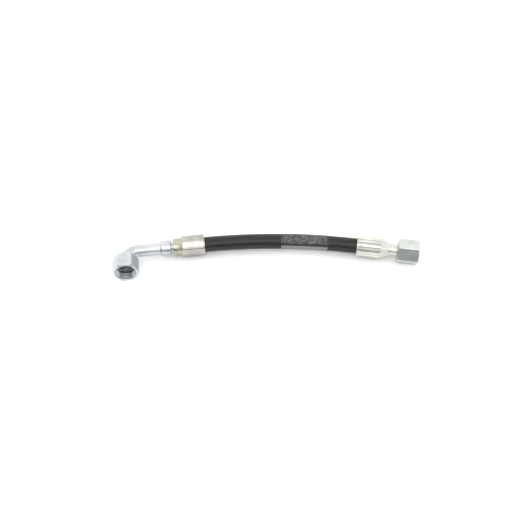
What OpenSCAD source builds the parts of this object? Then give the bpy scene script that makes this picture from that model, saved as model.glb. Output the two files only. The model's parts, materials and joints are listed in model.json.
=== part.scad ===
// Hydraulic hose assembly: a short one-wire-braid hose with a 90 degree swivel elbow on one end
// and a straight swivel fitting on the other. Millimetres, +Z up, lying on the flats of its two nuts.
// The origin is under the middle of the whole assembly, on the surface that it lies on.

/* [Hose] */
// Free length of the hose along its centreline, between the two ferrules
hose_free_length = 150; // [100:1:400]
// Angle that the hose turns through between its two ferrules
hose_turn = 16; // [6:1:24]
// Outside diameter of the rubber cover
hose_od = 15; // [15:0.1:15.6]
// Outside diameter of the wire braid
braid_od = 12.7; // [12.4:0.1:13]
// Outside diameter of the rubber liner
liner_od = 11.2; // [10.8:0.1:11.6]
// Bore of the hose
hose_bore = 8; // [7.8:0.1:8.4]
// Length of hose pushed into each ferrule
hose_grip = 22; // [20:0.5:23]

/* [Label] */
// Where the printed wrap starts, as a share of the free length
label_start = 0.505; // [0.2:0.005:0.6]
// Where the printed wrap ends, as a share of the free length
label_end = 0.817; // [0.7:0.005:0.9]
// Thickness of the printed wrap
label_thickness = 0.2; // [0.15:0.05:0.4]

/* [Ferrules] */
// Diameter over the crimped ridges of both ferrules
ferrule_od = 21; // [20.5:0.1:22]
// Length of the elbow ferrule
elbow_ferrule_length = 30.6; // [30:0.1:32]
// Length of the elbow ferrule's crimped part
elbow_crimp_length = 21.5; // [20:0.5:22.5]
// Diameter of the elbow ferrule's neck
elbow_neck_od = 17; // [16:0.1:18]
// Length of the straight ferrule
straight_ferrule_length = 31.9; // [31:0.1:33]
// Length of the straight ferrule's ribbed part
straight_rib_length = 22.6; // [21:0.5:23.5]
// Diameter of the straight ferrule's small end
straight_small_od = 14.6; // [14:0.1:16]

/* [Fittings] */
// Width across the flats of both swivel nuts
nut_across_flats = 22.2; // [21.8:0.1:24]
// Length of the elbow's nut
elbow_nut_length = 17.5; // [17:0.1:18]
// Length of the straight end's nut
straight_nut_length = 21; // [20:0.1:22]
// Minor diameter of the nuts' thread
thread_bore = 17.5; // [17.3:0.05:17.7]
// Length of full thread behind the mouth chamfer
thread_length = 7.8; // [7:0.1:8]
// Outside diameter of the elbow's tube
tube_od = 12; // [11.5:0.1:12.2]
// Wall of the elbow's tube
tube_wall = 1.5; // [1:0.1:2]
// Radius of the elbow's bend at the tube's centreline
bend_radius = 13; // [12:0.5:13]
// Distance from the hose's axis to the elbow nut's mouth
elbow_drop = 27; // [27:0.1:29]
// Distance from the elbow ferrule's mouth to the elbow nut's axis
elbow_reach = 77.5; // [70:0.5:100]

/* [Hidden] */
$fn = 96;

// How far a cutting solid stands clear of the solid that it cuts
clear = 1;

// The arc that the free hose lies in
half_turn = hose_turn / 2;
arc_radius = hose_free_length / (hose_turn * PI / 180);
half_chord = arc_radius * sin(half_turn);
arc_rise = arc_radius * (1 - cos(half_turn));
axis_height = nut_across_flats / 2;
nut_corner_radius = nut_across_flats / 2 / cos(30);

// Sides of the hose's layers, and rings along their bowed stretch
hose_sides = 16;
bow_steps = 12;

// Adhesive film under the printed wrap
label_gap = 0.05;

// Crimped hose: the ferrules' teeth bite into the cover
grip_radius = 7.2;
tooth_radius = 6.9;
tooth_first = 3;
tooth_pitch = 4.6;
tooth_width = 1.4;
tooth_flank = 0.3;
tooth_count = 4;
bore_end = hose_grip + 0.5;
mouth_edge = 0.5;
small_end_edge = 0.6;
jaw_taper_length = 2;

// Hose tail that both fittings push into the liner
tail_start = 1.5;
tail_bore_radius = 2.9;
tail_tip_wall = 0.3;
barb_depth = 0.35;
barb_pitch = 3;
barb_back = 0.25;
barb_land = 0.1;
barb_count = 6;
lock_radius = 5.3;
lock_groove_radius = 4.8;
lock_groove_start = 25;
lock_groove_end = 28;

// Elbow fitting, distances along the hose's axis from the ferrule's mouth
collar_gap = 1.9;
collar_length = 9.8;
collar_start = elbow_ferrule_length + collar_gap;
collar_end = collar_start + collar_length;
collar_od = 15.2;
collar_chamfer = 0.6;
socket_depth = 8;
braze_leg = 0.9;
bend_start = elbow_reach - bend_radius;

// Straight fitting, distances along the hose's axis from the ferrule's mouth
neck_gap = 0.8;
neck_length = 4.8;
nut_gap = 1.7;
neck_start = straight_ferrule_length + neck_gap;
neck_end = neck_start + neck_length;
neck_radius = 6;
straight_nut_start = neck_end + nut_gap;
straight_reach = straight_nut_start + straight_nut_length;
under_nut_radius = 5.8;

// Swivel nuts, depths measured back from the mouth
mouth_chamfer = 1;
mouth_radius = 9.75;
relief_radius = 9.15;
relief_length = 1.1;
head_depth = 9.8;
head_radius = 8.4;
flange_thickness = 2.3;
flange_bore_radius = 7.3;
corner_chamfer_front = 1.2;
corner_chamfer_back = 1.6;
chamfer_angle = 30;
// Turns the chamfer's seam away from the hexagon's corners
seam_turn = 15;

// Thrust wires that hold the nuts on, and the 37 degree seats
wire_radius = 0.8;
wire_play = 0.08;
wire_ring_radius = 8.45;
wire_depth = 13.2;
wire_arc = 335;
seat_angle = 37;
seat_outer_radius = 7.6;
seat_edge = 0.3;
seat_socket_depth = 2;
elbow_head_length = 4.6;
elbow_seat_inner_radius = 5.9;
straight_head_length = 8;
straight_seat_inner_radius = 3.4;

// Crimp marks on the ferrules
jaw_count = 8;
jaw_flats_across = 20.1;
jaw_phase = 12;
rib_count = 16;
rib_groove_radius = 0.95;
rib_groove_offset = 0.25;
rib_groove_centre = ferrule_od / 2 + rib_groove_offset;
rib_runout = 0.2;

// Shift that brings the middle of the assembly's box onto the origin
box_left = -half_chord - (elbow_reach + nut_corner_radius) * cos(half_turn)
    + (elbow_drop - elbow_nut_length + corner_chamfer_back) * sin(half_turn);
box_right = half_chord + straight_reach * cos(half_turn)
    + (nut_corner_radius - corner_chamfer_front) * sin(half_turn);
box_back = arc_rise + hose_od / 2;
box_front = -(elbow_reach + nut_corner_radius - corner_chamfer_front) * sin(half_turn)
    - elbow_drop * cos(half_turn);
shift = [-(box_left + box_right) / 2, -(box_front + box_back) / 2, axis_height];

// Places its children, drawn along +X from the elbow ferrule's mouth, away from the hose
module at_elbow_end() {
    translate(shift)
        translate([-half_chord, 0, 0])
            rotate([0, 0, 180 + half_turn])
                children();
}

// Places its children, drawn along +X from the straight ferrule's mouth, away from the hose
module at_straight_end() {
    translate(shift)
        translate([half_chord, 0, 0])
            rotate([0, 0, -half_turn])
                children();
}

// Places its children, drawn along +X back from the nut's mouth, in the elbow's nut
module in_elbow_nut() {
    at_elbow_end()
        translate([elbow_reach, elbow_drop, 0])
            rotate([0, 0, -90])
                children();
}

// Places its children, drawn along +X back from the nut's mouth, in the straight nut
module in_straight_nut() {
    at_straight_end()
        translate([straight_reach, 0, 0])
            rotate([0, 0, 180])
                children();
}

// A turned solid along +X, from [distance along the axis, radius] points
module turned(points) {
    rotate([90, 0, 90])
        rotate_extrude()
            polygon([for (p = points) [p[1], p[0]]]);
}

// A round bar along +X from one distance to another
module bar(radius, from, to) {
    translate([from, 0, 0])
        rotate([0, 90, 0])
            cylinder(r = radius, h = to - from);
}

// A tube that follows the free hose, between two shares of its length
module bowed_tube(outer, inner, from, to) {
    translate(shift)
        translate([0, -arc_radius * cos(half_turn), 0])
            rotate([0, 0, 90 + half_turn - to * hose_turn])
                rotate_extrude(angle = (to - from) * hose_turn)
                    translate([arc_radius, 0])
                        difference() {
                            circle(r = outer);
                            circle(r = inner);
                        }
}

// The hose's heading at a distance along it, counted from the elbow ferrule's mouth
function heading(along) =
    half_turn - hose_turn * min(max(along / hose_free_length, 0), 1);

// How far a distance along the hose lies past the nearer end of the bowed stretch
function overrun(along) = min(along, 0) + max(along - hose_free_length, 0);

// The hose's centreline: an arc, then straight on into each ferrule
function hose_point(along) = let (turn = heading(along))
    [-arc_radius * sin(turn), arc_radius * (cos(turn) - cos(half_turn))]
    + overrun(along) * [cos(turn), sin(turn)];

// One ring of points round the centreline
function ring(along, radius) = let (centre = hose_point(along), turn = heading(along))
    [for (k = [0 : hose_sides - 1]) let (a = k * 360 / hose_sides)
        [centre[0] - radius * cos(a) * sin(turn), centre[1] + radius * cos(a) * cos(turn),
            radius * sin(a)]];

// Two triangles between each pair of neighbouring points on two rings
function band(first, second) = [for (k = [0 : hose_sides - 1], t = [0, 1])
    let (next = (k + 1) % hose_sides)
        t == 0 ? [first + k, second + k, second + next] : [first + k, second + next, first + next]];

// A hollow layer of the hose: its outer radius is given as [distance along, radius] points
module hose_layer(outline, inner) {
    count = len(outline);
    inside = count * hose_sides;
    translate(shift)
        polyhedron(
            points = concat([for (p = outline) each ring(p[0], p[1])],
                [for (p = outline) each ring(p[0], inner)]),
            faces = concat(
                [for (i = [0 : count - 2]) each band(i * hose_sides, (i + 1) * hose_sides)],
                [for (i = [0 : count - 2])
                    each band(inside + (i + 1) * hose_sides, inside + i * hose_sides)],
                band(inside, 0),
                band(inside - hose_sides, inside + inside - hose_sides)));
}

// Distances along the hose at which a plain layer has a ring
function plain_outline(radius) = concat([[-hose_grip, radius]],
    [for (i = [0 : bow_steps]) [i * hose_free_length / bow_steps, radius]],
    [[hose_free_length + hose_grip, radius]]);

// The cover's outline in one ferrule, by depth: full size at the mouth, then squeezed and grooved
crimped_outline = concat([[0, hose_od / 2], [tooth_flank, grip_radius]],
    [for (i = [0 : tooth_count - 1], p = [[-tooth_flank, grip_radius], [0, tooth_radius],
        [tooth_width, tooth_radius], [tooth_width + tooth_flank, grip_radius]])
            [tooth_first + i * tooth_pitch + p[0], p[1]]],
    [[hose_grip, grip_radius]]);

// Outline of a ferrule's toothed bore, from the mouth inwards
function crimp_line(depth) = concat([[0, grip_radius]],
    [for (i = [0 : tooth_count - 1], p = [
        [tooth_first + i * tooth_pitch, grip_radius],
        [tooth_first + i * tooth_pitch, tooth_radius],
        [tooth_first + i * tooth_pitch + tooth_width, tooth_radius],
        [tooth_first + i * tooth_pitch + tooth_width, grip_radius]]) p],
    [[depth, grip_radius]]);

// Outline of the hose tail, from its tip to the ferrule's inner end
function tail_line() = concat([[tail_start, tail_bore_radius + tail_tip_wall]],
    [for (i = [0 : barb_count - 1], p = [
        [tail_start + (i + barb_back) * barb_pitch, hose_bore / 2 - barb_depth],
        [tail_start + (i + 1) * barb_pitch, hose_bore / 2]]) p],
    [[tail_start + (barb_count + barb_land) * barb_pitch, hose_bore / 2],
        [bore_end, hose_bore / 2],
        [bore_end, lock_radius],
        [lock_groove_start, lock_radius], [lock_groove_start, lock_groove_radius],
        [lock_groove_end, lock_groove_radius], [lock_groove_end, lock_radius]]);

module hose_liner() {
    color("#26241f")
        hose_layer(plain_outline(liner_od / 2), hose_bore / 2 / cos(180 / hose_sides));
}

module hose_wire_braid() {
    color("#8d8f8c")
        hose_layer(plain_outline(braid_od / 2), liner_od / 2);
}

module hose_cover() {
    last = len(crimped_outline) - 1;
    color("#1b1b1a")
        hose_layer(concat(
            [for (i = [last : -1 : 0]) [-crimped_outline[i][0], crimped_outline[i][1]]],
            [for (i = [1 : bow_steps - 1]) [i * hose_free_length / bow_steps, hose_od / 2]],
            [for (p = crimped_outline) [hose_free_length + p[0], p[1]]]),
            braid_od / 2);
}

module hose_label() {
    label_radius = hose_od / 2 + label_gap;
    color("#6f706c")
        bowed_tube(label_radius + label_thickness, label_radius, label_start, label_end);
}

// Ferrule crimped by eight jaws, with a plain turned neck
module elbow_ferrule() {
    taper_end = elbow_crimp_length + jaw_taper_length;
    color("#a39c8c")
        at_elbow_end()
            difference() {
                union() {
                    intersection() {
                        rotate([jaw_phase, 0, 0])
                            rotate([0, 90, 0])
                                rotate([0, 0, 180 / jaw_count])
                                    cylinder(d = jaw_flats_across / cos(180 / jaw_count),
                                        h = taper_end, $fn = jaw_count);
                        turned([[0, 0], [0, ferrule_od / 2 - mouth_edge],
                            [mouth_edge, ferrule_od / 2], [elbow_crimp_length, ferrule_od / 2],
                            [taper_end, elbow_neck_od / 2], [taper_end, 0]]);
                    }
                    turned([[elbow_crimp_length, 0], [elbow_crimp_length, elbow_neck_od / 2],
                        [elbow_ferrule_length - small_end_edge, elbow_neck_od / 2],
                        [elbow_ferrule_length, elbow_neck_od / 2 - small_end_edge],
                        [elbow_ferrule_length, 0]]);
                }
                ferrule_bore(elbow_ferrule_length);
            }
}

// The space inside a ferrule
module ferrule_bore(length) {
    turned(concat([[-clear, 0], [-clear, grip_radius]], crimp_line(bore_end),
        [[bore_end, lock_radius], [lock_groove_start, lock_radius],
            [lock_groove_start, lock_groove_radius], [lock_groove_end, lock_groove_radius],
            [lock_groove_end, lock_radius], [length + clear, lock_radius],
            [length + clear, 0]]));
}

module elbow_hose_tail() {
    color("#c6cacb")
        at_elbow_end()
            difference() {
                turned(concat([[tail_start, 0]], tail_line(),
                    [[collar_start, lock_radius],
                        [collar_start, collar_od / 2 - collar_chamfer],
                        [collar_start + collar_chamfer, collar_od / 2],
                        [collar_end - collar_chamfer, collar_od / 2],
                        [collar_end, collar_od / 2 - collar_chamfer],
                        [collar_end, 0]]));
                bar(tail_bore_radius, tail_start - clear, collar_end + clear);
                bar(tube_od / 2, collar_end - socket_depth, collar_end + clear);
            }
}

module elbow_tube() {
    inner_radius = tube_od / 2 - tube_wall;
    tube_start = collar_end - socket_depth;
    straight_after_bend = elbow_drop - head_depth - elbow_head_length + seat_socket_depth
        - bend_radius;
    color("#c2c7cb")
        at_elbow_end()
            union() {
                difference() {
                    bar(tube_od / 2, tube_start, bend_start);
                    bar(inner_radius, tube_start - clear, bend_start + clear);
                }
                translate([bend_start, bend_radius, 0])
                    rotate([0, 0, -90])
                        rotate_extrude(angle = 90)
                            translate([bend_radius, 0])
                                difference() {
                                    circle(d = tube_od);
                                    circle(r = inner_radius);
                                }
                translate([elbow_reach, bend_radius, 0])
                    rotate([-90, 0, 0])
                        difference() {
                            cylinder(d = tube_od, h = straight_after_bend);
                            translate([0, 0, -clear])
                                cylinder(r = inner_radius, h = straight_after_bend + 2 * clear);
                        }
            }
}

module elbow_braze_ring() {
    color("#b5a56a")
        at_elbow_end()
            turned([[collar_end, tube_od / 2], [collar_end, tube_od / 2 + braze_leg],
                [collar_end + braze_leg, tube_od / 2]]);
}

// The groove that a thrust wire runs in, with its play
module wire_groove() {
    translate([wire_depth, 0, 0])
        rotate([0, 90, 0])
            rotate_extrude()
                translate([wire_ring_radius, 0])
                    circle(r = wire_radius + wire_play);
}

module elbow_seat() {
    cone_depth = (seat_outer_radius - elbow_seat_inner_radius) / tan(seat_angle);
    back = head_depth + elbow_head_length;
    socket_start = back - seat_socket_depth;
    passage_radius = tube_od / 2 - tube_wall;
    color("#c2c7cb")
        in_elbow_nut()
            difference() {
                turned([[head_depth, 0], [head_depth, head_radius - seat_edge],
                    [head_depth + seat_edge, head_radius], [back, head_radius], [back, 0]]);
                turned([[head_depth - clear, 0],
                    [head_depth - clear, seat_outer_radius + clear * tan(seat_angle)],
                    [head_depth, seat_outer_radius],
                    [head_depth + cone_depth, elbow_seat_inner_radius],
                    [head_depth + cone_depth, passage_radius],
                    [socket_start, passage_radius], [socket_start, 0]]);
                bar(passage_radius, socket_start - clear, back + clear);
                bar(tube_od / 2, socket_start, back + clear);
                wire_groove();
            }
}

// A hexagon swivel nut along +X from its mouth, with the groove for its thrust wire
module swivel_nut(length) {
    front_radius = nut_corner_radius - corner_chamfer_front / tan(chamfer_angle);
    back_radius = nut_corner_radius - corner_chamfer_back / tan(chamfer_angle);
    thread_end = mouth_chamfer + thread_length;
    difference() {
        intersection() {
            rotate([0, 90, 0])
                rotate([0, 0, 30])
                    cylinder(r = nut_corner_radius, h = length, $fn = 6);
            rotate([seam_turn, 0, 0])
                turned([[0, 0], [0, front_radius],
                    [corner_chamfer_front + clear * tan(chamfer_angle), nut_corner_radius + clear],
                    [length - corner_chamfer_back - clear * tan(chamfer_angle),
                        nut_corner_radius + clear],
                    [length, back_radius], [length, 0]]);
        }
        turned([[-clear, 0], [-clear, mouth_radius + clear], [0, mouth_radius],
            [mouth_chamfer, thread_bore / 2], [thread_end, thread_bore / 2],
            [thread_end, relief_radius], [thread_end + relief_length, relief_radius],
            [thread_end + relief_length, thread_bore / 2],
            [wire_depth - wire_radius, thread_bore / 2],
            [wire_depth - wire_radius, wire_ring_radius + wire_radius],
            [wire_depth + wire_radius, wire_ring_radius + wire_radius],
            [wire_depth + wire_radius, thread_bore / 2],
            [length - flange_thickness, thread_bore / 2],
            [length - flange_thickness, flange_bore_radius],
            [length + clear, flange_bore_radius], [length + clear, 0]]);
    }
}

module thrust_wire() {
    translate([wire_depth, 0, 0])
        rotate([0, 90, 0])
            rotate_extrude(angle = wire_arc)
                translate([wire_ring_radius, 0])
                    circle(r = wire_radius);
}

module elbow_nut() {
    color("#aab4b4")
        in_elbow_nut() swivel_nut(elbow_nut_length);
}

module elbow_nut_wire() {
    color("#8f9293")
        in_elbow_nut() thrust_wire();
}

// Ferrule with sixteen ribs and a tapered small end
module straight_ferrule() {
    color("#b3b1a3")
        at_straight_end()
            difference() {
                turned([[0, 0], [0, ferrule_od / 2 - mouth_edge], [mouth_edge, ferrule_od / 2],
                    [straight_rib_length, ferrule_od / 2],
                    [straight_ferrule_length - small_end_edge, straight_small_od / 2],
                    [straight_ferrule_length, straight_small_od / 2 - small_end_edge],
                    [straight_ferrule_length, 0]]);
                for (i = [0 : rib_count - 1])
                    rotate([i * 360 / rib_count, 0, 0])
                        translate([-clear, 0, rib_groove_centre])
                            rotate([0, 90, 0])
                                cylinder(r = rib_groove_radius,
                                    h = clear + straight_rib_length + rib_runout);
                ferrule_bore(straight_ferrule_length);
            }
}

module straight_stem() {
    head_front = straight_reach - head_depth;
    head_back = head_front - straight_head_length;
    cone_depth = (seat_outer_radius - straight_seat_inner_radius) / tan(seat_angle);
    color("#c2c7cb")
        difference() {
            at_straight_end()
                difference() {
                    turned(concat([[tail_start, 0]], tail_line(),
                        [[neck_start, lock_radius], [neck_start, neck_radius],
                            [neck_end, neck_radius], [neck_end, under_nut_radius],
                            [head_back, under_nut_radius], [head_back, head_radius],
                            [head_front - seat_edge, head_radius],
                            [head_front, head_radius - seat_edge],
                            [head_front, 0]]));
                    bar(tail_bore_radius, tail_start - clear, head_front + clear);
                    turned([[head_front + clear, 0],
                        [head_front + clear, seat_outer_radius + clear * tan(seat_angle)],
                        [head_front, seat_outer_radius],
                        [head_front - cone_depth, straight_seat_inner_radius],
                        [head_front - cone_depth, 0]]);
                }
            in_straight_nut() wire_groove();
        }
}

module straight_nut() {
    color("#a4aca4")
        in_straight_nut() swivel_nut(straight_nut_length);
}

module straight_nut_wire() {
    color("#8f9293")
        in_straight_nut() thrust_wire();
}

hose_liner();
hose_wire_braid();
hose_cover();
hose_label();
elbow_ferrule();
elbow_hose_tail();
elbow_tube();
elbow_braze_ring();
elbow_seat();
elbow_nut();
elbow_nut_wire();
straight_ferrule();
straight_stem();
straight_nut();
straight_nut_wire();
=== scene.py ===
import json
import math

import bmesh
import bpy
import numpy as np
from mathutils import Matrix, Vector


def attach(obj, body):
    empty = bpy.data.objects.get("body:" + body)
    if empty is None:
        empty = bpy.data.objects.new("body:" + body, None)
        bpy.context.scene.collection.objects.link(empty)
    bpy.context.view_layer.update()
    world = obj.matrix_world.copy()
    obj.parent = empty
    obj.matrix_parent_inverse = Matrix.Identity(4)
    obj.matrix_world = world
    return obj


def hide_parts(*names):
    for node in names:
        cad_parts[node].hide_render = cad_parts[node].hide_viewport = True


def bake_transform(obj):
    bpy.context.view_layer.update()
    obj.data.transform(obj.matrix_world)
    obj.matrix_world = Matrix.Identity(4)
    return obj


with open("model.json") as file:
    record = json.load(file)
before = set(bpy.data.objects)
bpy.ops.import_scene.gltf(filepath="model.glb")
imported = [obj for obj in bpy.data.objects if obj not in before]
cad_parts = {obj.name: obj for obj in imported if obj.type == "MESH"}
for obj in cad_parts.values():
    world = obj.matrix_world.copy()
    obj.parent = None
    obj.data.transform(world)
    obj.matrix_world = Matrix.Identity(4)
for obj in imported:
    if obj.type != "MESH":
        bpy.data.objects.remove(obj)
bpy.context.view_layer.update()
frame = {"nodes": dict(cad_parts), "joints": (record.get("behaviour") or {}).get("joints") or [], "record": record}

MM = 0.001
joints = {joint["name"]: joint for joint in frame["joints"]}
mounts = {mount["name"]: mount for mount in frame["record"]["mounts"]}

# ---------------------------------------------------------------- camera
CAMERA_ELEVATION = math.radians(48.5)
CAMERA_AZIMUTH = math.radians(0.7)
CAMERA_DISTANCE = 0.814
CAMERA_LENS_MM = 58.9
CAMERA_SENSOR_MM = 36.0
CAMERA_TARGET = Vector((-0.0106, -0.0002, 0.0100))


def make_camera():
    data = bpy.data.cameras.new("camera")
    data.lens = CAMERA_LENS_MM
    data.sensor_width = CAMERA_SENSOR_MM
    camera = bpy.data.objects.new("camera", data)
    bpy.context.scene.collection.objects.link(camera)
    level = math.cos(CAMERA_ELEVATION)
    back = Vector((level * math.sin(CAMERA_AZIMUTH), -level * math.cos(CAMERA_AZIMUTH),
                   math.sin(CAMERA_ELEVATION)))
    camera.location = CAMERA_TARGET + CAMERA_DISTANCE * back
    camera.rotation_euler = (math.pi / 2 - CAMERA_ELEVATION, 0, CAMERA_AZIMUTH)
    bpy.context.scene.camera = camera


# ---------------------------------------------------------------- the hose's centreline
# Lengths are in millimetres along the hose from the elbow ferrule's mouth, as in the CAD.
FREE_LENGTH = 150.0
TURN = math.radians(16)
GRIP = 22.0
HOSE_RADIUS = 7.5
BRAID_RADIUS = 6.35
LINER_RADIUS = 5.6
BORE_RADIUS = 4.0
LAYER_GAP = 0.02
HALF_TURN = TURN / 2
ARC_RADIUS = FREE_LENGTH / TURN
HOSE_MIDDLE = Vector(joints["hose_bend"]["pos_m"])
UP = Vector((0, 0, 1))


def heading(along):
    """The centreline's direction from +X; straight beyond both ends of the free hose."""
    share = min(max(along / FREE_LENGTH, 0.0), 1.0)
    return HALF_TURN - TURN * share


def hose_point(along):
    """The point of the centreline at a distance along it, in metres."""
    turn = heading(along)
    over = min(along, 0.0) + max(along - FREE_LENGTH, 0.0)
    x = -ARC_RADIUS * math.sin(turn) + over * math.cos(turn)
    y = ARC_RADIUS * (math.cos(turn) - 1) + over * math.sin(turn)
    return HOSE_MIDDLE + Vector((x, y, 0)) * MM


def on_hose(along, radius, angle):
    """A point round the hose; the angle is from the top towards the hose's +Y side."""
    turn = heading(along)
    side = Vector((-math.sin(turn), math.cos(turn), 0))
    return hose_point(along) + (side * math.sin(angle) + UP * math.cos(angle)) * (radius * MM)


def placing(origin, along):
    """A frame whose +X is along, with +Z up: returns a function of (x, radius, angle)."""
    along = along.normalized()
    side = UP.cross(along)

    def place(x, radius, angle):
        out = side * math.sin(angle) + UP * math.cos(angle)
        return origin + (along * x + out * radius) * MM
    return place


elbow_along = Vector((-math.cos(HALF_TURN), -math.sin(HALF_TURN), 0))
straight_along = Vector((math.cos(HALF_TURN), -math.sin(HALF_TURN), 0))
on_elbow_end = placing(hose_point(0), elbow_along)
on_straight_end = placing(hose_point(FREE_LENGTH), straight_along)


# ---------------------------------------------------------------- mesh helpers
def smoothstep(low, high, value):
    t = min(max((value - low) / (high - low), 0.0), 1.0)
    return t * t * (3 - 2 * t)


def rounded(outline, fillet):
    """A closed outline with each corner rounded by a small curve."""
    steps = 3
    points = [Vector(p) for p in outline]
    result = []
    for i, corner in enumerate(points):
        before = points[i - 1] - corner
        after = points[(i + 1) % len(points)] - corner
        straight = before.length < 1e-6 or after.length < 1e-6
        if straight or before.normalized().dot(after.normalized()) < -0.995:
            result.append(tuple(corner))
            continue
        reach = min(fillet, 0.45 * before.length, 0.45 * after.length)
        start = corner + before.normalized() * reach
        end = corner + after.normalized() * reach
        for k in range(steps + 1):
            t = k / steps
            result.append(tuple(start * (1 - t) ** 2 + corner * 2 * t * (1 - t) + end * t * t))
    return result


def spaced(start, end, count):
    """Points in a straight run from start up to, but not including, end."""
    first, last = Vector(start), Vector(end)
    return [tuple(first.lerp(last, k / count)) for k in range(count)]


def finish_mesh(name, vertices, faces, sharp_degrees):
    """A smooth-shaded piece whose edges stay sharp above the given angle."""
    mesh = bpy.data.meshes.new(name)
    mesh.from_pydata([tuple(v) for v in vertices], [], faces)
    work = bmesh.new()
    work.from_mesh(mesh)
    bmesh.ops.recalc_face_normals(work, faces=work.faces)
    work.to_mesh(mesh)
    work.free()
    mesh.shade_smooth()
    mesh.set_sharp_from_angle(angle=math.radians(sharp_degrees))
    piece = bpy.data.objects.new(name, mesh)
    bpy.context.scene.collection.objects.link(piece)
    return piece


def loop_piece(name, outline, angles, place, shape=None, sharp_degrees=28):
    """A hollow piece: a closed outline of (x, radius) carried round all the angles."""
    vertices = []
    for x, radius in outline:
        for angle in angles:
            r = shape(x, radius, angle) if shape else radius
            vertices.append(place(x, r, angle))
    rows, columns = len(outline), len(angles)
    faces = []
    for i in range(rows):
        for j in range(columns):
            nxt, side = (i + 1) % rows, (j + 1) % columns
            faces.append((i * columns + j, nxt * columns + j, nxt * columns + side, i * columns + side))
    return finish_mesh(name, vertices, faces, sharp_degrees)


def paint(piece, name, outline, angles, value):
    """Stores value(x, radius, angle) on each vertex of a loop piece."""
    values = [value(x, radius, angle) for x, radius in outline for angle in angles]
    attribute = piece.data.attributes.new(name, "FLOAT", "POINT")
    attribute.data.foreach_set("value", np.array(values, np.float32))


def even_angles(count):
    return [2 * math.pi * k / count for k in range(count)]


# ---------------------------------------------------------------- materials
def new_material(name):
    material = bpy.data.materials.new(name)
    material.use_nodes = True
    tree = material.node_tree
    shader = tree.nodes["Principled BSDF"]
    return material, tree, shader


def link_noise(tree, scale, detail, stretch=None, roughness=0.55):
    """A noise texture in the piece's own space, stretched if asked."""
    place = tree.nodes.new("ShaderNodeTexCoord")
    noise = tree.nodes.new("ShaderNodeTexNoise")
    noise.inputs["Scale"].default_value = scale
    noise.inputs["Detail"].default_value = detail
    noise.inputs["Roughness"].default_value = roughness
    if stretch:
        mapping = tree.nodes.new("ShaderNodeMapping")
        mapping.inputs["Scale"].default_value = stretch
        tree.links.new(place.outputs["Object"], mapping.inputs["Vector"])
        tree.links.new(mapping.outputs["Vector"], noise.inputs["Vector"])
    else:
        tree.links.new(place.outputs["Object"], noise.inputs["Vector"])
    return noise


def link_ramp(tree, source, stops):
    ramp = tree.nodes.new("ShaderNodeValToRGB")
    elements = ramp.color_ramp.elements
    while len(elements) < len(stops):
        elements.new(0.5)
    for element, (position, colour) in zip(elements, stops):
        element.position = position
        element.color = (*colour, 1.0)
    tree.links.new(source, ramp.inputs["Fac"])
    return ramp


def link_range(tree, source, low, high):
    """Spreads the middle of a noise over the values from low to high."""
    span = tree.nodes.new("ShaderNodeMapRange")
    span.inputs["From Min"].default_value = 0.3
    span.inputs["From Max"].default_value = 0.7
    span.inputs["To Min"].default_value = low
    span.inputs["To Max"].default_value = high
    tree.links.new(source, span.inputs["Value"])
    return span


def link_bump(tree, shader, source, strength, distance):
    bump = tree.nodes.new("ShaderNodeBump")
    bump.inputs["Strength"].default_value = strength
    bump.inputs["Distance"].default_value = distance
    tree.links.new(source, bump.inputs["Height"])
    tree.links.new(bump.outputs["Normal"], shader.inputs["Normal"])


def link_overlay(tree, base, attribute, colour):
    """The base colour, with another mixed in as far as a painted attribute says."""
    amount = tree.nodes.new("ShaderNodeAttribute")
    amount.attribute_name = attribute
    mix = tree.nodes.new("ShaderNodeMix")
    mix.data_type = "RGBA"
    mix.inputs["B"].default_value = (*colour, 1.0)
    tree.links.new(amount.outputs["Fac"], mix.inputs["Factor"])
    tree.links.new(base, mix.inputs["A"])
    return mix.outputs["Result"]


# The colour that the ferrules' grooves and jaw lines darken towards: painted shade, with some grime.
GROOVE_SHADE_AND_GRIME = (0.13, 0.125, 0.11)
GRAIN_STRETCH = (1.0, 2.0, 2.0)
BLOTCH_FIRST, BLOTCH_SPAN = 0.36, 0.3


def plated(name, colours, mottling, rough=(0.28, 0.36), grooves=False):
    """Plated steel: blotchy passivation colour and fine grain; if asked, painted shade with some grime in the
    grooves.
    """
    material, tree, shader = new_material(name)
    blotches = link_noise(tree, mottling, detail=4.0)
    last = len(colours) - 1
    stops = [(BLOTCH_FIRST + BLOTCH_SPAN * k / last, colour) for k, colour in enumerate(colours)]
    ramp = link_ramp(tree, blotches.outputs["Fac"], stops)
    colour = ramp.outputs["Color"]
    # Painted shade, with some grime, darkens the grooves as far as the painted attribute says.
    if grooves:
        colour = link_overlay(tree, colour, "groove_shade_and_grime", GROOVE_SHADE_AND_GRIME)
    tree.links.new(colour, shader.inputs["Base Color"])
    shader.inputs["Metallic"].default_value = 1.0
    scuffs = link_noise(tree, 420.0, detail=3.0, stretch=GRAIN_STRETCH)
    span = link_range(tree, scuffs.outputs["Fac"], *rough)
    tree.links.new(span.outputs["Result"], shader.inputs["Roughness"])
    grain = link_noise(tree, 1500.0, detail=2.0, stretch=GRAIN_STRETCH)
    link_bump(tree, shader, grain.outputs["Fac"], 0.03, 0.00006)
    return material


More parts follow.
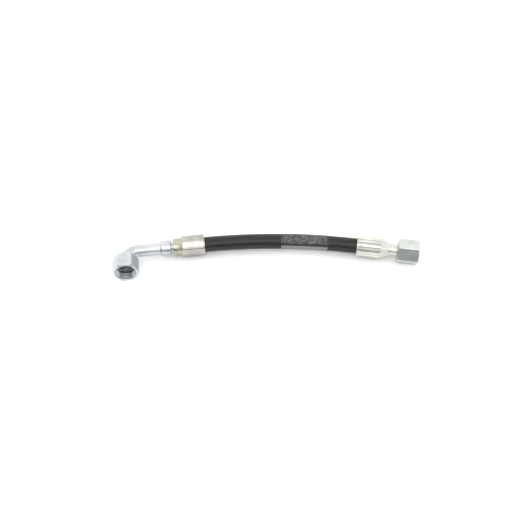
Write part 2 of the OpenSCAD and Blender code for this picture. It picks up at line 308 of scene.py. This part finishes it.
def cover_rubber():
    """Black rubber cover: fine cloth impression from the curing wrap, and faint lighter, rougher streaks along the
    hose that are painted highlight streaks.
    """
    material, tree, shader = new_material("cover_rubber")
    # Painted highlight: lighter, rougher streaks stretched along the hose.
    streaks = link_noise(tree, 260.0, detail=4.0, stretch=(0.18, 1.0, 1.0))
    ramp = link_ramp(tree, streaks.outputs["Fac"],
                     [(0.3, (0.004, 0.004, 0.004)), (0.55, (0.008, 0.008, 0.007)),
                      (0.75, (0.017, 0.017, 0.015))])
    tree.links.new(ramp.outputs["Color"], shader.inputs["Base Color"])
    span = link_range(tree, streaks.outputs["Fac"], 0.26, 0.38)
    tree.links.new(span.outputs["Result"], shader.inputs["Roughness"])
    shader.inputs["Specular IOR Level"].default_value = 0.36
    weave = tree.nodes.new("ShaderNodeTexWave")
    place = tree.nodes.new("ShaderNodeTexCoord")
    weave.bands_direction = "DIAGONAL"
    weave.inputs["Scale"].default_value = 420.0
    weave.inputs["Distortion"].default_value = 1.5
    tree.links.new(place.outputs["Object"], weave.inputs["Vector"])
    link_bump(tree, shader, weave.outputs["Fac"], 0.10, 0.0001)
    return material


def plain_rough(name, dark, light, rough, metallic=0.0, scale=300.0):
    """A plain surface that varies a little in shade, roughness and height."""
    material, tree, shader = new_material(name)
    noise = link_noise(tree, scale, detail=4.0)
    ramp = link_ramp(tree, noise.outputs["Fac"], [(0.35, dark), (0.65, light)])
    tree.links.new(ramp.outputs["Color"], shader.inputs["Base Color"])
    span = link_range(tree, noise.outputs["Fac"], rough - 0.06, rough + 0.06)
    tree.links.new(span.outputs["Result"], shader.inputs["Roughness"])
    shader.inputs["Metallic"].default_value = metallic
    link_bump(tree, shader, noise.outputs["Fac"], 0.15, 0.0001)
    return material


# Mixed into the label: a pale band below, and a painted highlight, the film edge's glint, along the upper edge.
BAND_AND_GLINT_GREY = (0.16, 0.16, 0.148)
# Mixed into the label: its dark lines, the seam's partly painted shade.
LINE_BLACK = (0.008, 0.008, 0.008)


def label_film():
    """Worn print with no lettering: broken flecks over grey, a pale band below, a painted highlight along the
    upper edge, and dark lines, the seam's partly painted shade.
    """
    material, tree, shader = new_material("label_film")
    flecks = link_noise(tree, 620.0, detail=4.0, stretch=(0.8, 1.0, 1.0), roughness=0.65)
    ramp = link_ramp(tree, flecks.outputs["Fac"],
                     [(0.44, (0.006, 0.006, 0.006)), (0.52, (0.030, 0.030, 0.028)),
                      (0.60, (0.14, 0.14, 0.13))])
    patches = link_noise(tree, 160.0, detail=3.0)
    worn = link_ramp(tree, patches.outputs["Fac"],
                     [(0.38, (0.015, 0.015, 0.014)), (0.6, (0.075, 0.075, 0.07))])
    mix = tree.nodes.new("ShaderNodeMix")
    mix.data_type = "RGBA"
    mix.inputs["Factor"].default_value = 0.35
    tree.links.new(ramp.outputs["Color"], mix.inputs["A"])
    tree.links.new(worn.outputs["Color"], mix.inputs["B"])
    # The pale band below, and the painted highlight along the upper edge.
    banded = link_overlay(tree, mix.outputs["Result"], "pale_band_and_glint", BAND_AND_GLINT_GREY)
    # The dark lines: the seam's, partly painted shade, and the one near the end.
    lined = link_overlay(tree, banded, "seam_shade_and_end_line", LINE_BLACK)
    tree.links.new(lined, shader.inputs["Base Color"])
    span = link_range(tree, flecks.outputs["Fac"], 0.35, 0.55)
    tree.links.new(span.outputs["Result"], shader.inputs["Roughness"])
    link_bump(tree, shader, flecks.outputs["Fac"], 0.15, 0.0001)
    return material


ZINC = [(0.44, 0.46, 0.48), (0.50, 0.52, 0.54), (0.56, 0.57, 0.59)]
NUT_ZINC = [(0.44, 0.47, 0.48), (0.50, 0.54, 0.55), (0.54, 0.57, 0.58)]
# The elbow's seat lies deep inside its nut: plated like the rest, with its colour darkened to paint in the shade
# there.
SEAT_ZINC_WITH_SHADE = [(0.16, 0.17, 0.18), (0.26, 0.28, 0.29), (0.34, 0.36, 0.37)]
GREEN_ZINC = [(0.49, 0.52, 0.49), (0.55, 0.57, 0.54), (0.58, 0.59, 0.57)]
WARM_STEEL = [(0.36, 0.35, 0.32), (0.43, 0.42, 0.39), (0.48, 0.47, 0.44)]
CHROMATE = [(0.30, 0.28, 0.19), (0.41, 0.39, 0.29), (0.48, 0.46, 0.38), (0.37, 0.37, 0.28)]
RIB_ZINC = [(0.53, 0.53, 0.48), (0.59, 0.59, 0.54), (0.64, 0.64, 0.60)]


def wear(piece, *materials):
    """Gives a piece these materials and no others."""
    piece.data.materials.clear()
    for material in materials:
        piece.data.materials.append(material)


# ---------------------------------------------------------------- hose
BLEND_START = hose_point(0)
BLEND_END = hose_point(FREE_LENGTH)
TOOTH_FIRST, TOOTH_PITCH, TOOTH_WIDTH, TOOTH_COUNT = 3.0, 4.6, 1.4, 4
TOOTH_FLANK = 0.3
GRIP_RADIUS, TOOTH_RADIUS = 7.2, 6.9
FINE_STEP, COARSE_STEP = 0.8, 2.0
COVER_SIDES, BRAID_SIDES, LINER_SIDES = 96, 120, 64
BRAID_WIRES, BRAID_LAY, BRAID_RELIEF, BRAID_SINK = 24, 1.9, 0.1, 0.11


def cover_radius(depth):
    """The cover's radius at a depth inside a ferrule: squeezed, and grooved by the teeth."""
    radius = HOSE_RADIUS - (HOSE_RADIUS - GRIP_RADIUS) * smoothstep(0.0, TOOTH_FLANK, depth)
    for k in range(TOOTH_COUNT):
        start = TOOTH_FIRST + k * TOOTH_PITCH
        end = start + TOOTH_WIDTH
        inside = smoothstep(start - TOOTH_FLANK, start, depth) - smoothstep(end, end + TOOTH_FLANK, depth)
        radius -= (GRIP_RADIUS - TOOTH_RADIUS) * inside
    return radius


def stations(step):
    """Even places along the whole hose, both gripped ends included."""
    count = round((FREE_LENGTH + 2 * GRIP) / step)
    return [-GRIP + k * (FREE_LENGTH + 2 * GRIP) / count for k in range(count + 1)]


def layer(name, node, step, outer, inner, sides, shape=None):
    """One layer of the hose, bending between the two ferrules."""
    along = stations(step)
    outline = [(s, outer(s)) for s in along] + [(s, inner) for s in reversed(along)]
    piece = loop_piece(name, outline, even_angles(sides), on_hose, shape, sharp_degrees=40)
    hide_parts(node)
    return piece


def make_hose(rubber, film):
    def cover_outline(s):
        return cover_radius(max(-s, s - FREE_LENGTH, 0.0))
    cover = layer("rubber_cover", "hose_cover", FINE_STEP, cover_outline, BRAID_RADIUS, COVER_SIDES)
    wear(cover, rubber)

    def woven(s, radius, angle):
        if radius < LINER_RADIUS + 0.2:
            return radius
        one = math.sin(BRAID_WIRES * angle + s * BRAID_LAY)
        other = math.sin(BRAID_WIRES * angle - s * BRAID_LAY)
        return radius - BRAID_SINK + BRAID_RELIEF * max(one, other)
    braid = layer("wire_braid", "hose_wire_braid", FINE_STEP, lambda s: BRAID_RADIUS - LAYER_GAP,
                  LINER_RADIUS, BRAID_SIDES, woven)
    wear(braid, plain_rough("braid_wire", (0.36, 0.36, 0.34), (0.58, 0.57, 0.53), 0.35, 1.0, 900.0))
    liner = layer("rubber_liner", "hose_liner", COARSE_STEP, lambda s: LINER_RADIUS - LAYER_GAP,
                  BORE_RADIUS, LINER_SIDES)
    wear(liner, plain_rough("liner_rubber", (0.016, 0.015, 0.013), (0.03, 0.028, 0.024), 0.5))
    label = make_label(film)
    tuple(hose_point(0))
    [tuple(hose_point(s)) for s in stations(6.0)]
    for piece, slot in ((cover, "cover_rubber"), (braid, "braid_wire"),
                        (liner, "liner_rubber"), (label, "label_film")):
        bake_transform(piece)


LABEL_START, LABEL_END = 0.505 * FREE_LENGTH, 0.817 * FREE_LENGTH
LABEL_FACING = math.radians(-42)
LABEL_THICKNESS = 0.18
LABEL_ROWS, LABEL_SIDES = 60, 180
LABEL_CORNER = 4.5
# Where the label's colour changes, in degrees from the side that faces the camera, negative below it: a pale band
# below, a painted highlight along the upper edge, and the seam's line.
BAND_BELOW, BAND_ABOVE = (-38, -30), (66, 76)
BAND_ABOVE_SHARE = 0.6
# The seam's dark line: partly the label's overlapped edge, partly painted shade like the hose's own darkest band.
SEAM_LOW, SEAM_HIGH = (-33, -30), (-19, -15)
END_LINE_ABOVE = -25
# The dark line near the label's end, as shares of its length.
END_LINE = (0.955, 0.975)


def make_label(film):
    """The printed wrap: a crisp end towards the elbow and a rounded end towards the other."""
    def from_facing(angle):
        return (angle - LABEL_FACING + math.pi) % (2 * math.pi) - math.pi

    def place(share, radius, angle):
        off = from_facing(angle)
        start = LABEL_START + 0.15 * math.sin(3 * angle + 1.0)
        end = LABEL_END - LABEL_CORNER * min(abs(off) / 1.5, 1.0) ** 2.5 + 0.2 * math.sin(5 * angle)
        return on_hose(start + share * (end - start), radius, angle)

    shares = [k / LABEL_ROWS for k in range(LABEL_ROWS + 1)]
    outer = HOSE_RADIUS + LABEL_THICKNESS
    outline = [(t, outer) for t in shares] + [(t, HOSE_RADIUS + LAYER_GAP) for t in reversed(shares)]
    angles = even_angles(LABEL_SIDES)
    label = loop_piece("printed_wrap", outline, angles, place, sharp_degrees=40)

    # A pale band along the lower side, and a painted highlight, the film edge's glint, along the upper edge.
    def band_and_glint_share(share, radius, angle):
        off = math.degrees(from_facing(angle))
        below = 1 - smoothstep(*BAND_BELOW, off)
        above = BAND_ABOVE_SHARE * smoothstep(*BAND_ABOVE, off)
        return below if off < 0 else above

    # Dark lines near the label's end and along the seam; the seam's is partly painted shade.
    def dark_line(share, radius, angle):
        off = math.degrees(from_facing(angle))
        end = smoothstep(*END_LINE, share) if off > END_LINE_ABOVE else 0.0
        seam = smoothstep(*SEAM_LOW, off) * (1 - smoothstep(*SEAM_HIGH, off))
        return max(end, seam)
    paint(label, "pale_band_and_glint", outline, angles, band_and_glint_share)
    paint(label, "seam_shade_and_end_line", outline, angles, dark_line)
    wear(label, film)
    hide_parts("hose_label")
    return label


# ---------------------------------------------------------------- ferrules
FERRULE_RADIUS = 10.5
BORE_CLEAR = 7.22
LOCK_RADIUS = 5.32
INNER_END = GRIP + 0.5
JAWS = 8
JAW_PHASE = math.radians(12)
JAW_APOTHEM = 10.0
ELBOW_CRIMP = 21.5
ELBOW_FERRULE = 30.6
ELBOW_NECK_RADIUS = 8.5
STRAIGHT_RIBS = 22.6
STRAIGHT_FERRULE = 31.9
STRAIGHT_SMALL_RADIUS = 7.3
RIBS = 16
# The elbow ferrule: the crimp's lip, ridges and the painted shade along their feet, and where the shoulder falls
# to the neck.
CRIMP_LIP = 0.7
RIDGE_HEIGHT, RIDGE_HALF_WIDTH = 0.28, math.radians(3.2)
JAW_LINE_OFF, JAW_LINE_HALF_WIDTH, JAW_LINE_SHADE = math.radians(4.0), math.radians(1.8), 0.7
BARREL_START, BARREL_END, SHOULDER_TOP, SHOULDER_FOOT = 2.6, 20.4, 21.6, 23.4
CHROMATE_START = 22.9
# The straight ferrule: its grooves, and its taper in eight flats.
GROOVE_DEPTH, GROOVE_FLOOR, GROOVE_EDGE = 0.8, math.radians(1.2), math.radians(4.6)
# The grooves' painted shade, with some grime: its strength, and how far it spreads from a groove's floor.
GROOVE_SHADE_STRENGTH, GROOVE_SHADE_EDGE = 0.5, math.radians(3.2)
TAPER_START, TAPER_KNEE, TAPER_END = 22.0, 24.4, 31.2
TAPER_FLATNESS = 0.945
# Short of the shoulder or the taper, a point with a smaller radius than this belongs to the bore.
INSIDE_ELBOW, INSIDE_STRAIGHT = ELBOW_NECK_RADIUS + 0.4, 8.0
ELBOW_SIDES, STRAIGHT_SIDES = 360, 384


def from_nearest(angle, phase, count):
    """The angle from the nearest of count evenly spaced directions."""
    step = 2 * math.pi / count
    return (angle - phase + step / 2) % step - step / 2


def bore_outline(length):
    """A ferrule's toothed bore, from its small end back to its mouth."""
    teeth = []
    for k in reversed(range(TOOTH_COUNT)):
        start = TOOTH_FIRST + k * TOOTH_PITCH
        end = start + TOOTH_WIDTH
        teeth += [(end, BORE_CLEAR), (end, TOOTH_RADIUS + LAYER_GAP),
                  (start, TOOTH_RADIUS + LAYER_GAP), (start, BORE_CLEAR)]
    return [(length, LOCK_RADIUS), (INNER_END, LOCK_RADIUS), (INNER_END, BORE_CLEAR)] + teeth + [
        (0.0, BORE_CLEAR)]


def make_elbow_ferrule():
    """Crimped by eight jaws: slightly hollow flats, a thin ridge where two jaws met."""
    def crimped(x, radius, angle):
        if radius < INSIDE_ELBOW and x < ELBOW_CRIMP:
            return radius
        pressed = smoothstep(CRIMP_LIP, 2.0, x) * (1 - smoothstep(ELBOW_CRIMP - 0.9, ELBOW_CRIMP + 1.1, x))
        off = from_nearest(angle, JAW_PHASE, JAWS)
        edge = math.pi / JAWS - abs(off)
        flat = min(JAW_APOTHEM / math.cos(edge), FERRULE_RADIUS - 0.12)
        ridge = RIDGE_HEIGHT * max(0.0, 1 - abs(off) / RIDGE_HALF_WIDTH)
        target = flat + ridge * smoothstep(CRIMP_LIP, 3.0, x)
        return radius + pressed * (min(target, radius + 0.05) - radius)

    corners = [(0.4, FERRULE_RADIUS), (BARREL_START, FERRULE_RADIUS), (BARREL_END, FERRULE_RADIUS),
               (SHOULDER_TOP, FERRULE_RADIUS - 0.1), (SHOULDER_FOOT, ELBOW_NECK_RADIUS)]
    body = [(0.0, FERRULE_RADIUS)]
    for start, end, count in zip(corners, corners[1:], (8, 8, 4, 6)):
        body += spaced(start, end, count)
    body += [corners[-1], (ELBOW_FERRULE, ELBOW_NECK_RADIUS)]
    outline = rounded(body + bore_outline(ELBOW_FERRULE), fillet=0.35)
    angles = even_angles(ELBOW_SIDES)
    piece = loop_piece("elbow_crimped_ferrule", outline, angles, on_elbow_end, crimped)

    # Painted shade: a dark line on each side of the ridge where two jaws met.
    def jaw_line(x, radius, angle):
        if radius < INSIDE_ELBOW or not 0.6 < x < ELBOW_CRIMP + 0.5:
            return 0.0
        off = from_nearest(angle, JAW_PHASE, JAWS)
        return JAW_LINE_SHADE * max(0.0, 1 - abs(abs(off) - JAW_LINE_OFF) / JAW_LINE_HALF_WIDTH)
    paint(piece, "groove_shade_and_grime", outline, angles, jaw_line)
    body_steel = plated("chromate_body", WARM_STEEL, mottling=90.0, grooves=True)
    neck = plated("chromate_neck", CHROMATE, mottling=260.0)
    wear(piece, body_steel, neck)
    origin, along = hose_point(0), elbow_along
    for face in piece.data.polygons:
        if (face.center - origin).dot(along) > CHROMATE_START * MM:
            face.material_index = 1
    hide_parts("elbow_ferrule")
    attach(piece, "elbow_end")


def make_straight_ferrule():
    """Sixteen ribs, then a taper that the jaws left in eight flats."""
    def ribbed(x, radius, angle):
        if radius < STRAIGHT_SMALL_RADIUS - 0.03 or (x < INNER_END + 0.5 and radius < INSIDE_STRAIGHT):
            return radius
        off = abs(from_nearest(angle, 0.0, RIBS))
        groove = 1 - smoothstep(GROOVE_FLOOR, GROOVE_EDGE, off)
        reach = smoothstep(0.2, 1.4, x) * (1 - smoothstep(STRAIGHT_RIBS - 0.4, STRAIGHT_RIBS + 1.6, x))
        ribs = radius - GROOVE_DEPTH * groove * reach
        faceted = smoothstep(STRAIGHT_RIBS - 0.5, STRAIGHT_RIBS + 2.5, x)
        faceted *= 1 - smoothstep(STRAIGHT_FERRULE - 1.2, STRAIGHT_FERRULE - 0.5, x)
        edge = from_nearest(angle, math.pi / JAWS, JAWS)
        flat = min(radius * TAPER_FLATNESS / math.cos(edge), radius)
        return ribs + faceted * (min(flat, ribs) - ribs)

    corners = [(0.3, FERRULE_RADIUS), (1.8, FERRULE_RADIUS), (TAPER_START, FERRULE_RADIUS),
               (TAPER_KNEE, FERRULE_RADIUS - 0.6), (TAPER_END, STRAIGHT_SMALL_RADIUS + 0.1)]
    body = [(0.0, FERRULE_RADIUS)]
    for start, end, count in zip(corners, corners[1:], (5, 8, 8, 10)):
        body += spaced(start, end, count)
    body += [corners[-1], (STRAIGHT_FERRULE, STRAIGHT_SMALL_RADIUS)]
    outline = rounded(body + bore_outline(STRAIGHT_FERRULE), fillet=0.3)
    angles = even_angles(STRAIGHT_SIDES)
    piece = loop_piece("straight_ribbed_ferrule", outline, angles, on_straight_end, ribbed)

    # Painted shade, with some grime, along the floor of each groove, fading out past the ribs.
    def groove_line(x, radius, angle):
        if radius < INSIDE_STRAIGHT or x < 0.3:
            return 0.0
        off = abs(from_nearest(angle, 0.0, RIBS))
        line = 1 - smoothstep(GROOVE_FLOOR, GROOVE_SHADE_EDGE, off)
        return GROOVE_SHADE_STRENGTH * line * (1 - smoothstep(STRAIGHT_RIBS - 0.6, STRAIGHT_RIBS + 1.2, x))
    paint(piece, "groove_shade_and_grime", outline, angles, groove_line)
    wear(piece, plated("zinc_ferrule", RIB_ZINC, mottling=110.0, grooves=True))
    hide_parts("straight_ferrule")
    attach(piece, "straight_end")


# ---------------------------------------------------------------- swivel nuts
NUT_APOTHEM = 11.1
NUT_CORNER = NUT_APOTHEM / math.cos(math.pi / 6)
CORNER_CLIP = NUT_CORNER - 0.22
FRONT_CHAMFER, BACK_CHAMFER = 1.2, 1.6
CHAMFER_SLOPE = 1 / math.tan(math.radians(30))
THREAD_CREST, THREAD_ROOT = 8.75, 9.52
THREAD_START, THREAD_END = 0.9, 8.8
THREAD_PITCH = 25.4 / 16
RELIEF_END = 9.9
FLANGE_THICKNESS = 2.3
FLANGE_BORE = 7.3
MOUNT_DEPTH = 4.9
STEPS_PER_TURN = 72
# The chamfers' first points lie this far from the nut's faces.
FACE_GAP = 0.04
# A point with a smaller radius than this stays round: the bore, and the flat rings at its ends.
BORE_LIMIT = THREAD_ROOT + 0.6
ELBOW_NUT_LENGTH, STRAIGHT_NUT_LENGTH = 17.5, 21.0
# Degrees either side of a flat's middle where the rounded corner takes over.
FLAT_HALF_ANGLE = 28.3


def nut_place(mount):
    """Places by distance from the nut's mouth, inwards; the mount lies MOUNT_DEPTH inside it."""
    axis = Vector(mounts[mount]["axis"]).normalized()
    mouth = Vector(mounts[mount]["pos_m"]) + axis * (MOUNT_DEPTH * MM)
    return placing(mouth, -axis)


def hexagon_angles():
    side = [-FLAT_HALF_ANGLE, *range(-24, 25, 6), FLAT_HALF_ANGLE, 30]
    return [math.radians(60 * k + a) for k in range(6) for a in side]


def make_nut(name, node, mount, body, length, steel):
    """A hexagon nut with chamfered corners, and its thread as a helical ridge in the bore."""
    place = nut_place(mount)

    def hexagon(x, radius, angle):
        if radius < BORE_LIMIT:
            return radius
        flat = NUT_APOTHEM / math.cos(from_nearest(angle, 0.0, 6))
        front = NUT_CORNER - (FRONT_CHAMFER - x) * CHAMFER_SLOPE
        back = NUT_CORNER - (BACK_CHAMFER - (length - x)) * CHAMFER_SLOPE
        return min(flat, CORNER_CLIP, front, back)

    front_radius = NUT_CORNER - FRONT_CHAMFER * CHAMFER_SLOPE
    back_radius = NUT_CORNER - BACK_CHAMFER * CHAMFER_SLOPE
    outline = [(0.12, THREAD_ROOT + 0.35), (0.0, THREAD_ROOT + 0.5), (0.0, front_radius - 0.2)]
    runs = [(FACE_GAP, FRONT_CHAMFER, 10), (FRONT_CHAMFER + 1, length - BACK_CHAMFER - 1, 4),
            (length - BACK_CHAMFER, length - FACE_GAP, 12)]
    for start, end, count in runs:
        outline += [(x, NUT_CORNER) for x in np.linspace(start, end, count)]
    outline += [(length, max(back_radius - 0.2, FLANGE_BORE + 0.8)), (length, FLANGE_BORE + 0.4),
                (length - 0.4, FLANGE_BORE), (length - FLANGE_THICKNESS, FLANGE_BORE),
                (length - FLANGE_THICKNESS, THREAD_CREST), (RELIEF_END + 0.4, THREAD_CREST),
                (RELIEF_END, THREAD_ROOT), (THREAD_START - 0.4, THREAD_ROOT)]
    nut = loop_piece(name, outline, hexagon_angles(), place, hexagon, sharp_degrees=20)
    wear(nut, steel)
    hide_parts(node)
    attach(nut, body)
    make_thread(name + "_thread", place, body, steel)


def make_thread(name, place, body, steel):
    """The thread's ridge, which rises from the bore at its start and sinks back at its end."""
    turns = (THREAD_END - THREAD_START) / THREAD_PITCH - 0.5
    steps = round(STEPS_PER_TURN * turns)
    root = THREAD_ROOT + 0.05
    profile = [(-0.72, 0.0), (-0.12, 1.0), (0.12, 1.0), (0.72, 0.0)]
    vertices = []
    for k in range(steps + 1):
        share = k / steps
        angle = 2 * math.pi * turns * share
        height = smoothstep(0, 0.06, share) * smoothstep(1, 0.94, share) * (root - THREAD_CREST) + 0.02
        start = THREAD_START + 0.35 * THREAD_PITCH + THREAD_PITCH * turns * share
        for across, up in profile:
            vertices.append(place(start + across, root - up * height, -angle))
    ring = len(profile)
    faces = [tuple(range(ring)), tuple(ring * steps + m for m in reversed(range(ring)))]
    for k in range(steps):
        here, ahead = ring * k, ring * (k + 1)
        for m in range(ring):
            n = (m + 1) % ring
            faces.append((here + m, here + n, ahead + n, ahead + m))
    piece = finish_mesh(name, vertices, faces, 30)
    wear(piece, steel)
    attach(piece, body)


# ---------------------------------------------------------------- carried-over fittings
def dress_fittings():
    """The turned and bent CAD pieces keep their shapes and get their finish."""
    zinc = plated("zinc_bright", ZINC, mottling=70.0)
    stem = plated("zinc_stem", RIB_ZINC, mottling=120.0)
    # The seat's colour carries painted shade for the depth of the nut's bore.
    seat = plated("zinc_seat", SEAT_ZINC_WITH_SHADE, rough=(0.42, 0.55), mottling=120.0)
    braze = plain_rough("braze_alloy", (0.40, 0.40, 0.36), (0.50, 0.50, 0.46), 0.35, 1.0)
    wire = plain_rough("spring_wire", (0.30, 0.30, 0.30), (0.45, 0.45, 0.46), 0.35, 1.0)
    finishes = {"elbow_tube": zinc, "elbow_hose_tail": zinc, "elbow_seat": seat,
                "straight_stem": stem, "elbow_braze_ring": braze,
                "elbow_nut_wire": wire, "straight_nut_wire": wire}
    for node, material in finishes.items():
        wear(frame["nodes"][node], material)


# ---------------------------------------------------------------- floor and light
FLOOR_WHITE = (0.95, 0.95, 0.95)
FLAG_COLOUR = (0.05, 0.054, 0.09)
MATT = 0.9
WORLD_STRENGTH = 1.5
# The flag and the softbox stand this far along Y, in metres, on the camera's side.
FRONT = -0.95


def plain_material(name, colour, rough):
    material, _, shader = new_material(name)
    shader.inputs["Base Color"].default_value = (*colour, 1.0)
    shader.inputs["Roughness"].default_value = rough
    shader.inputs["Specular IOR Level"].default_value = 0.2
    return material


def card(name, centre, size, normal, material):
    """A flat rectangle that faces along normal."""
    width, height = size
    corners = [(-width / 2, -height / 2, 0), (width / 2, -height / 2, 0),
               (width / 2, height / 2, 0), (-width / 2, height / 2, 0)]
    mesh = bpy.data.meshes.new(name)
    mesh.from_pydata(corners, [], [(0, 1, 2, 3)])
    mesh.materials.append(material)
    piece = bpy.data.objects.new(name, mesh)
    facing = Vector(normal).to_track_quat("Z", "Y").to_matrix().to_4x4()
    piece.matrix_world = Matrix.Translation(centre) @ facing
    bpy.context.scene.collection.objects.link(piece)
    return piece


def soft_light(name, centre, target, size, watts):
    data = bpy.data.lights.new(name, "AREA")
    data.shape = "RECTANGLE"
    data.size, data.size_y = size
    data.energy = watts
    light = bpy.data.objects.new(name, data)
    light.location = centre
    light.rotation_euler = (Vector(target) - Vector(centre)).to_track_quat("-Z", "Y").to_euler()
    bpy.context.scene.collection.objects.link(light)


def make_studio():
    """A white room, a dark flag that only reflections see, and a softbox over it."""
    card("floor", centre=(0, 0, 0), size=(6.0, 6.0), normal=(0, 0, 1),
         material=plain_material("floor_paint", FLOOR_WHITE, MATT))
    dark = card("dark_flag", centre=(0.0, FRONT, 0.19), size=(2.4, 0.38), normal=(0, 1, 0.1),
                material=plain_material("flag_cloth", FLAG_COLOUR, MATT))
    dark.visible_camera = False
    dark.visible_diffuse = False
    dark.visible_shadow = False
    soft_light("front_softbox", centre=(0.0, FRONT, 1.5), target=(0, 0, 0), size=(1.6, 0.34), watts=5.0)
    world = bpy.data.worlds.new("studio")
    world.use_nodes = True
    background = world.node_tree.nodes["Background"]
    background.inputs["Color"].default_value = (1.0, 1.0, 1.0, 1.0)
    background.inputs["Strength"].default_value = WORLD_STRENGTH
    bpy.context.scene.world = world
    bpy.context.scene.view_settings.view_transform = "Standard"


# ---------------------------------------------------------------- the whole scene
make_camera()
make_hose(cover_rubber(), label_film())
make_elbow_ferrule()
make_straight_ferrule()
make_nut("elbow_swivel_nut", "elbow_nut", "elbow_thread", "elbow_swivel", ELBOW_NUT_LENGTH,
         plated("zinc_elbow_nut", NUT_ZINC, mottling=90.0))
make_nut("straight_swivel_nut", "straight_nut", "straight_thread", "straight_swivel",
         STRAIGHT_NUT_LENGTH, plated("zinc_straight_nut", GREEN_ZINC, mottling=90.0))
dress_fittings()
make_studio()
